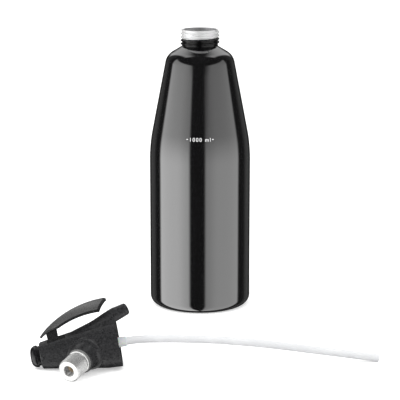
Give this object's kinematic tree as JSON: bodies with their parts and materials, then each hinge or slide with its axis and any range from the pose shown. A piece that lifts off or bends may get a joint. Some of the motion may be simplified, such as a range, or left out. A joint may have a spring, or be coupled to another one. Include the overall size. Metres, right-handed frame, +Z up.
{
  "type": "soda siphon",
  "caption": "Screw-top metal bottle and its valve head with squeeze lever, spout, charger port and dip tube, the head unscrewed and lying beside the standing bottle.",
  "frame": {"origin": "middle of the floor that the bottle and the head beside it cover, on the surface they rest on", "axes": "+Z up along the bottle's axis and out of its neck; the unscrewed head lies on the -Y side with its mouth and dip tube towards +X"},
  "size_m": [0.2928, 0.2956, 0.2605],
  "materials": {
    "bottle_finish": "gloss black paint over aluminium, bare aluminium at the neck's rim",
    "head_plastic": "fine textured black",
    "cap_plastic": "polished black",
    "lever_finish": "satin black",
    "tube_plastic": "translucent white",
    "nut_plastic": "white",
    "plated_metal": "bright turned",
    "washer_grey": "grey",
    "brass": "turned",
    "steel": "satin",
    "sintered": "sintered, matt",
    "seal_rubber": "matt"
  },
  "bodies": {
    "bottle": {"bottle": "bottle_finish"},
    "head": {"head_body": "head_plastic", "neck_gasket": "seal_rubber", "tube_nut": "nut_plastic", "dip_tube": "tube_plastic", "seat_gasket": "seal_rubber", "valve_seat": "brass", "stem_guide": "brass", "stem_seal": "seal_rubber", "valve_spring": "steel", "top_cap": "cap_plastic", "cap_ring": "seal_rubber", "lever_pin": "steel", "spout_tube": "head_plastic", "spout_ring": "seal_rubber", "charger_port": "plated_metal", "port_ring": "seal_rubber", "port_washer": "washer_grey", "check_sleeve": "seal_rubber", "gas_filter": "sintered", "needle_holder": "brass", "charger_seal": "seal_rubber", "needle": "steel"},
    "lever": {"lever": "lever_finish"},
    "stem": {"valve_stem": "steel", "stem_washer": "seal_rubber"}
  },
  "joints": [
    {"name": "head_lift", "type": "slide", "parent": "bottle", "child": "head", "axis": [0, 0, 1], "range_m": [0, 0.3]},
    {"name": "lever_pivot", "type": "hinge", "parent": "head", "child": "lever", "pos_m": [-0.12726, -0.10628, 0.021], "axis": [-0.0807, 0.9886, 0.1268], "range_deg": [0, 7], "stiffness_Nm_per_rad": 0.5, "springref_deg": -11.46},
    {"name": "stem_lift", "type": "slide", "parent": "head", "child": "stem", "axis": [-0.9857, -0.0603, -0.1573], "range_m": [0, 0.00105], "deforming": ["valve_spring"]}
  ],
  "couplings": [
    {"joint": "stem_lift", "follows": "lever_pivot", "m_per_rad": 0.0085}
  ]
}
